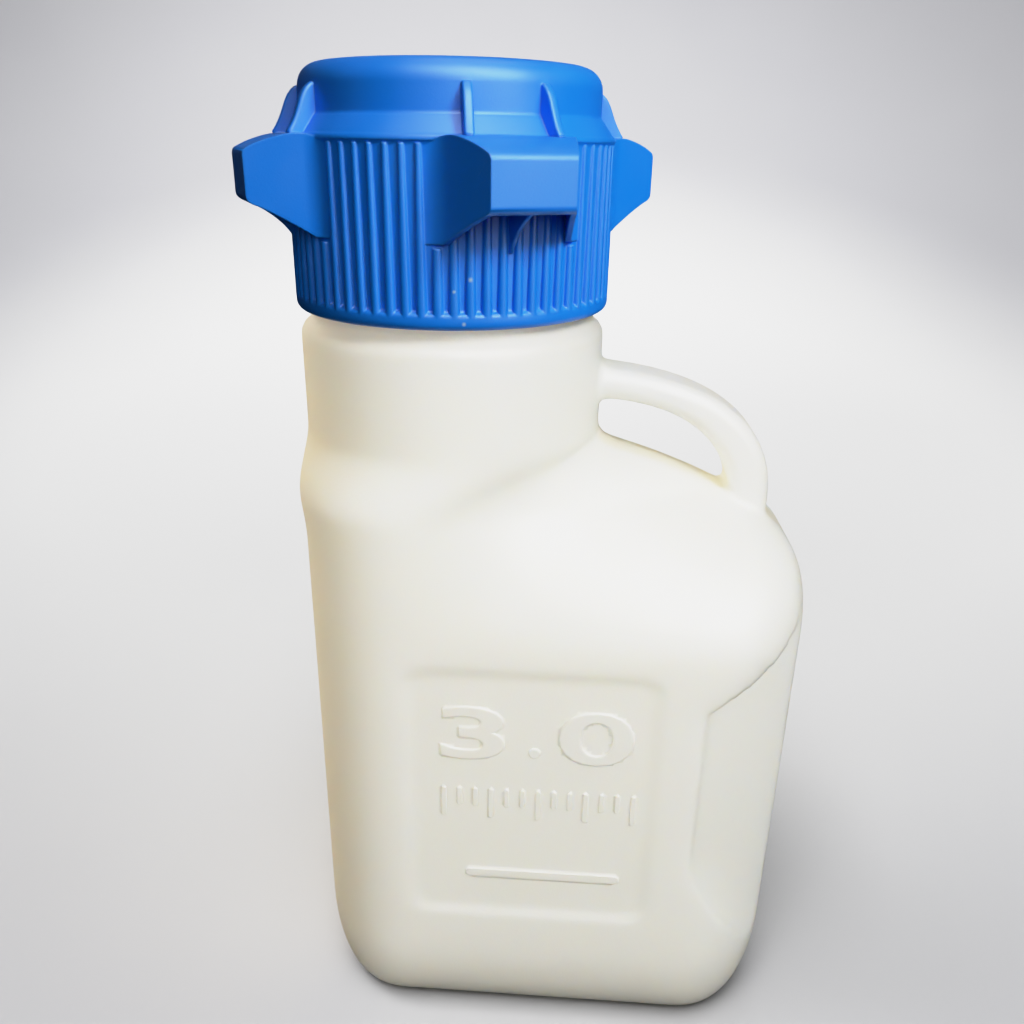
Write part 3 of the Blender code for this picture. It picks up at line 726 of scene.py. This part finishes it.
# CAP WINGS
# Each wing is a hollow grip, open below, with straight flanks that sweep into the skirt,
# a rounded nose, and one thin web inside that runs back from the nose.
WING_TIP = 0.0605
WING_TIP_HALF = 0.01125
WING_ROOT_ANGLE = 22.5
WING_ROOT_FILLET = 0.011
WING_ROOT_RADIUS = 0.0461
WING_WALL = 0.0015
WING_INNER_END = 0.036
WING_FOOT_Z = 0.2672
NOSE_ROUND = 0.0021
WEB_HALF = 0.0006
PRISM_LOW = 0.25
PRISM_HIGH = 0.30
PLATE_HALF = 0.03
SHARP_ANGLE = 40.0
wing_turns = [WING_AZIMUTH + i * 360.0 / WING_COUNT for i in range(WING_COUNT)]


def bevel(piece, width, segments):
    """Settle a piece and round its sharp edges."""
    settle(piece)
    pick(piece)
    modifier = piece.modifiers.new("round", "BEVEL")
    modifier.width = width
    modifier.segments = segments
    modifier.limit_method = "ANGLE"
    modifier.angle_limit = math.radians(SHARP_ANGLE)
    bpy.ops.object.modifier_apply(modifier="round")


def upright(name, outline):
    """Prism on an outline seen from above, taller than a wing."""
    return skin(name, [[Vector((out, across, z)) for out, across in outline]
                       for z in (PRISM_LOW, PRISM_HIGH)])


def plate(name, outline, half):
    """Prism on an outline of (radius, height) points, this far to each side."""
    return skin(name, [[Vector((out, across, z)) for out, z in outline] for across in (-half, half)])


wing_top = bezier((0.0395, 0.2902), (0.0425, 0.2922), (0.0450, 0.2930), (0.0480, 0.2927), 8)
wing_top += bezier((0.0480, 0.2927), (0.0510, 0.2924), (0.0566, 0.2907), (0.0590, 0.2893), 10)[1:]
wing_nose = arc((WING_TIP - NOSE_ROUND, 0.2873), NOSE_ROUND, 52.0, 0.0, 5)
wing_nose += arc((WING_TIP - NOSE_ROUND, 0.2773), NOSE_ROUND, 0.0, -58.0, 5)
wing_foot = bezier((0.0590, 0.2752), (0.0560, 0.2742), (0.0500, 0.2710), (0.0440, WING_FOOT_Z), 16)
wing_profile = [(WING_INNER_END, 0.2902), *wing_top, *wing_nose, *wing_foot,
                (WING_INNER_END, WING_FOOT_Z)]
# Seen from above, each flank runs straight back to the skirt and turns into it in a fillet
root_angle = math.radians(WING_ROOT_ANGLE)
root = SKIRT_RADIUS * Vector((math.cos(root_angle), math.sin(root_angle)))
tip = Vector((WING_TIP, WING_TIP_HALF))
flank = (tip - root).normalized()
normal = Vector((-flank.y, flank.x))
base = root + normal * WING_ROOT_FILLET
reach = WING_ROOT_RADIUS + WING_ROOT_FILLET
along = base.dot(flank)
centre = base + flank * (math.sqrt(along * along - base.length_squared + reach * reach) - along)
fillet = arc(centre, WING_ROOT_FILLET, math.degrees(math.atan2(-normal.y, -normal.x)),
             math.degrees(math.atan2(-centre.y, -centre.x)), 12)
inner_radius = SKIRT_RADIUS - 0.0026
inside = arc((0.0, 0.0), inner_radius, math.degrees(math.atan2(centre.y, centre.x)), 0.0, 8)[:-1]
half_plan = [tuple(tip + flank * 0.002), *fillet, *inside]
plan = half_plan + [(inner_radius, 0.0)] + [(out, -across) for out, across in reversed(half_plan)]
wing = upright("wing", plan)
cut(wing, plate("wing_profile", wing_profile, PLATE_HALF), "INTERSECT")
bevel(wing, 0.0010, 4)
# The pocket leaves one wall at the flanks, the nose and the top, and is open below
side = root - normal * WING_WALL
nose = WING_TIP - WING_WALL
heel = WING_INNER_END - 0.002
nose_half, heel_half = [side.y + flank.y * (out - side.x) / flank.x for out in (nose, heel)]
pocket = upright("pocket", [(nose, nose_half), (heel, heel_half), (heel, -heel_half), (nose, -nose_half)])
roof = [(out, z - WING_WALL) for out, z in wing_top if out > 0.045]
roof_end = WING_INNER_END - 0.004
roof = [(roof_end, roof[0][1]), *roof, (WING_TIP, roof[-1][1] - 0.0012), (WING_TIP, 0.255),
        (roof_end, 0.255)]
cut(pocket, plate("roof", roof, PLATE_HALF), "INTERSECT")
bevel(pocket, 0.0005, 2)
cut(wing, pocket)
add_to_cap(wing, wing_turns)
web_foot = bezier((0.0594, 0.2754), (0.0545, 0.2735), (0.0492, 0.2700), (0.0466, 0.2650), 12)
web_outline = [(0.0450, 0.2915), (0.0575, 0.2893), (0.0594, 0.2870), *web_foot, (0.0450, 0.2650)]
web = plate("web", web_outline, WEB_HALF)
bevel(web, 0.0003, 2)
add_to_cap(web, wing_turns)

# CAP FINS
# Two small curved fins above each wing, moulded in one with the cap, brace the shelf to the
# dome. Their edges are rounded, and they stand a little way in from the wing's flanks.
FIN_ANGLE = 14.0
FIN_HALF = 0.0013
STRAIGHT_ANGLE = 176.5
SMOOTH_ANGLE = 38.0
fin_edge = bezier((0.0428, 0.3051), (0.0474, 0.3026), (0.0462, 0.2983), (0.0507, 0.2928), 16)
fin_outline = [(0.0414, 0.3042), *fin_edge, (0.0490, 0.2922), (0.0435, 0.2930), (0.0414, 0.2958)]
fin = plate("fin", fin_outline, FIN_HALF)
bevel(fin, 0.0007, 3)
fin_turns = [turn + side for turn in wing_turns for side in (-FIN_ANGLE, FIN_ANGLE)]
add_to_cap(fin, fin_turns)

# Doubles are merged, and points that only split a straight edge between two faces go
pick(cap)
bpy.ops.object.mode_set(mode="EDIT")
bpy.ops.mesh.select_all(action="SELECT")
bpy.ops.mesh.remove_doubles(threshold=0.00003)
bpy.ops.mesh.select_all(action="DESELECT")
mesh = bmesh.from_edit_mesh(cap.data)
for vertex in mesh.verts:
    if len(vertex.link_edges) == 2:
        first, second = (edge.other_vert(vertex).co - vertex.co for edge in vertex.link_edges)
        vertex.select = first.angle(second) > math.radians(STRAIGHT_ANGLE)
bmesh.update_edit_mesh(cap.data)
bpy.ops.mesh.dissolve_verts()
bpy.ops.object.mode_set(mode="OBJECT")
bpy.ops.object.shade_smooth_by_angle(angle=math.radians(SMOOTH_ANGLE))
shading = cap.modifiers.new("even shading", "WEIGHTED_NORMAL")
shading.keep_sharp = True
bpy.ops.object.modifier_apply(modifier="even shading")

# Blue polypropylene has an even colour, a fine satin grain and paler handled edges. Three
# small pale specks are painted on the ribs and the foot band under the front wing.
BLUE = (0.003, 0.215, 0.90, 1.0)
BLUE_WORN = (0.06, 0.30, 0.80, 1.0)
PALE_SPECK = (0.38, 0.56, 0.74, 1.0)
SPECKS = (((-0.02445, -0.04585, 0.25870), 0.00091), ((-0.02861, -0.04659, 0.25570), 0.00065),
          ((-0.02614, -0.04609, 0.24741), 0.00078))
blue, tree, shader, place = new_material("blue polypropylene")
mould = place_group(tree, grain, {"Place": place, "Pit Size": 0.0005, "Wave Size": 0.012,
                                  "Wave Share": 0.45})
used = place_group(tree, wear, {"Place": place, "Length": 0.008, "Amount": 0.7})
rounded = node(tree, "Bevel", {"Radius": 0.0007}, samples=6).outputs["Normal"]
plain = node(tree, "NewGeometry", {}).outputs["Normal"]
meet = node(tree, "VectorMath", {0: rounded, 1: plain}, operation="DOT_PRODUCT").outputs["Value"]
edges = fade(tree, meet, 0.99, 0.90)
worn = sum_of(tree, "MULTIPLY", edges, fade(tree, used["Rubs"], 0.0, 0.5, 0.25, 0.7))
worn = sum_of(tree, "MAXIMUM", worn, sum_of(tree, "MULTIPLY", used["Scratches"], 0.5))
pale_specks = 0.0
for spot, radius in SPECKS:
    away = node(tree, "VectorMath", {0: place, 1: spot}, operation="DISTANCE").outputs["Value"]
    pale_specks = sum_of(tree, "MAXIMUM", pale_specks, fade(tree, away, 0.0, radius, 1.0, 0.0))
colour = mixed(tree, pale_specks, mixed(tree, worn, BLUE, BLUE_WORN), PALE_SPECK)
tree.links.new(colour, shader.inputs["Base Color"])
gloss = sum_of(tree, "ADD", fade(tree, mould["Patches"], 0.0, 1.0, 0.36, 0.42),
               sum_of(tree, "MULTIPLY", used["Rubs"], 0.08))
tree.links.new(gloss, shader.inputs["Roughness"])
relief = sum_of(tree, "SUBTRACT", mould["Height"], sum_of(tree, "MULTIPLY", used["Scratches"], 0.2))
bump = node(tree, "Bump", {"Height": relief, "Distance": 0.00006, "Strength": 1.0, "Normal": rounded})
tree.links.new(bump.outputs["Normal"], shader.inputs["Normal"])
shader.inputs["Specular IOR Level"].default_value = 0.4
cap.data.materials.clear()
cap.data.materials.append(blue)
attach(cap, "root")
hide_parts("cap")

# CAMERA
# The camera stands about 0.23 m in front of the broad face, level with the cap, and looks
# down at the bottle through a wide lens, so the bottle narrows towards its foot.
CAMERA_PLACE = (0.001185, -0.278053, 0.291444)
CAMERA_YAW = 0.06043
CAMERA_PITCH = 0.39209
CAMERA_ROLL = 0.016867
LENS = 31.49

bpy.ops.object.camera_add(location=CAMERA_PLACE)
camera = bpy.context.object
camera.data.lens = LENS
camera.data.sensor_width = 36.0
camera.data.clip_start = 0.01
turn = Matrix.Rotation(CAMERA_YAW, 3, "Z") @ Matrix.Rotation(math.pi / 2 - CAMERA_PITCH, 3, "X")
camera.rotation_euler = (turn @ Matrix.Rotation(CAMERA_ROLL, 3, "Z")).to_euler()
bpy.context.scene.camera = camera

# STUDIO
# A seamless sheet of pale paper: a floor that curves up into a wall all round. Large soft
# lamps stand round the carboy, and five more light the paper alone.
sweep_profile = [(0.0, 0.0), (0.10, 0.0), (0.30, 0.0), (0.70, 0.0)]
sweep_profile += arc((0.80, 1.0), 1.0, -90.0, 0.0, 24) + [(1.80, 2.6)]
sweep = turned("floor_sweep", sweep_profile, 96, 0.0, 0.00001)
sweep.data.flip_normals()
bpy.ops.object.shade_smooth()
PAPER = (0.89, 0.89, 0.89, 1.0)
PAPER_DIM_EDGE = (0.48, 0.48, 0.505, 1.0)
PAINTED_GLOW_MIDDLE = (-0.04, 0.68, 0.11)
paper, tree, shader, place = new_material("pale studio paper")
# Painted light: the paper is paler round a point behind the carboy and greyer towards its edges
middle = node(tree, "VectorMath", {0: place, 1: PAINTED_GLOW_MIDDLE}, operation="DISTANCE").outputs["Value"]
cloudy = fade(tree, noise(tree, place, 3.0, 2.0), 0.3, 0.7, -0.02, 0.02)
painted_glow = sum_of(tree, "ADD", fade(tree, middle, 0.48, 0.88), cloudy)
tree.links.new(mixed(tree, painted_glow, PAPER, PAPER_DIM_EDGE), shader.inputs["Base Color"])
shader.inputs["Roughness"].default_value = 0.9
shader.inputs["Specular IOR Level"].default_value = 0.2
sweep.data.materials.append(paper)
# The paper throws no light or reflection of its own on the carboy
sweep.visible_diffuse = False
sweep.visible_glossy = False


def soft_light(name, aim, azimuth, elevation, distance, size, power, lights, colour=(1.0, 0.99, 0.97),
               glossy=True, diffuse=True, spread=180.0):
    """A square soft light that looks at a point, and lights only the pieces it is flagged for."""
    around = math.radians(azimuth)
    level = math.cos(math.radians(elevation))
    rise = math.sin(math.radians(elevation))
    away = Vector((math.cos(around) * level, math.sin(around) * level, rise))
    place = Vector(aim) + distance * away
    bpy.ops.object.light_add(type="AREA", location=place)
    lamp = bpy.context.object
    lamp.name = name
    lamp.data.size = size
    lamp.data.energy = power
    lamp.data.color = colour
    lamp.data.spread = math.radians(spread)
    lamp.visible_glossy = glossy
    lamp.visible_diffuse = diffuse
    lamp.rotation_euler = (place - Vector(aim)).to_track_quat("Z", "Y").to_euler()
    flagged = bpy.data.collections.new(name + " flag")
    for piece in lights:
        flagged.objects.link(piece)
    lamp.light_linking.receiver_collection = flagged


MIDDLE = (0.0, 0.0, 0.20)
HIGH = (0.0, 0.0, 0.22)
BEIGE = (1.0, 0.85, 0.66)
WHITE = (1.0, 1.0, 1.0)
both = (bottle, cap)
# Each lamp's name, aim, azimuth, elevation, distance, size, power and the pieces it lights
soft_light("key", MIDDLE, -42, 41, 0.90, 0.25, 7.7, both, glossy=False)
soft_light("window", HIGH, -56, 42, 0.70, 0.60, 11.7, both, diffuse=False)
soft_light("low window", HIGH, -44, 8, 0.75, 0.38, 1.5, both, diffuse=False)
soft_light("front window", HIGH, -90, 60, 0.80, 0.50, 4.1, both, diffuse=False)
soft_light("top window", (0.0, 0.05, 0.20), 80, 82, 0.90, 0.50, 1.7, both, diffuse=False)
soft_light("front fill", MIDDLE, -115, 44, 0.90, 0.60, 0.72, [bottle], glossy=False)
soft_light("cap fill", MIDDLE, -80, 26, 0.90, 0.60, 2.1, [cap], glossy=False)
soft_light("behind", MIDDLE, 110, 14, 0.90, 0.60, 4.0, both, glossy=False)
soft_light("left glow", (0.0, 0.0, 0.14), 140, 15, 0.90, 0.50, 11.0, [bottle], BEIGE, glossy=False)
soft_light("left fill", (0.0, 0.0, 0.19), -138, 22, 0.90, 0.50, 1.7, [bottle], BEIGE, glossy=False)
soft_light("neck fill", (0.0, 0.0, 0.30), -92, 12, 0.60, 0.30, 0.05, [bottle], glossy=False, spread=50.0)
soft_light("foot", (0.0, 0.0, 0.02), -92, 1, 0.60, 0.40, 1.6, [bottle], glossy=False)
soft_light("floor front", (-0.15, 0.30, 0.0), -90, 62, 1.90, 1.00, 29.6, [sweep], WHITE, glossy=False)
WALL_LAMPS = (("backdrop", 0.0, 1.40, -130, 9.6), ("left wall", -1.40, 0.0, 40, 3.5),
              ("right wall", 1.40, 0.0, 140, 7.0), ("front wall", 0.0, -1.40, 130, 26.0))
for name, x, y, azimuth, power in WALL_LAMPS:
    soft_light(name, (x, y, 0.20), azimuth, 50, 1.70, 0.90, power, [sweep], WHITE, glossy=False,
               spread=80.0)

# The room is a soft grey overhead and dark below, so the cap's hollows stay deep
room = bpy.data.worlds.new("room")
room.use_nodes = True
tree = room.node_tree
toward = tree.nodes.new("ShaderNodeTexCoord").outputs["Generated"]
up = node(tree, "SeparateXYZ", {"Vector": toward}).outputs["Z"]
sky = mixed(tree, fade(tree, up, -0.25, 0.7), (0.06, 0.06, 0.06, 1.0), (0.50, 0.51, 0.53, 1.0))
tree.links.new(sky, tree.nodes["Background"].inputs["Color"])
tree.nodes["Background"].inputs["Strength"].default_value = 0.10
bpy.context.scene.world = room

# Highlights are held below full white, as a print holds them
view = bpy.context.scene.view_settings
view.view_transform = "Standard"
view.use_curve_mapping = True
curve = view.curve_mapping
curve.white_level = (2.0, 2.0, 2.0)
shoulder = curve.curves[3].points
shoulder[0].location = (0.0, 0.0)
shoulder[1].location = (1.0, 0.88)
for x, y in ((0.15, 0.30), (0.30, 0.60), (0.38, 0.72), (0.50, 0.82)):
    shoulder.new(x, y)
curve.update()
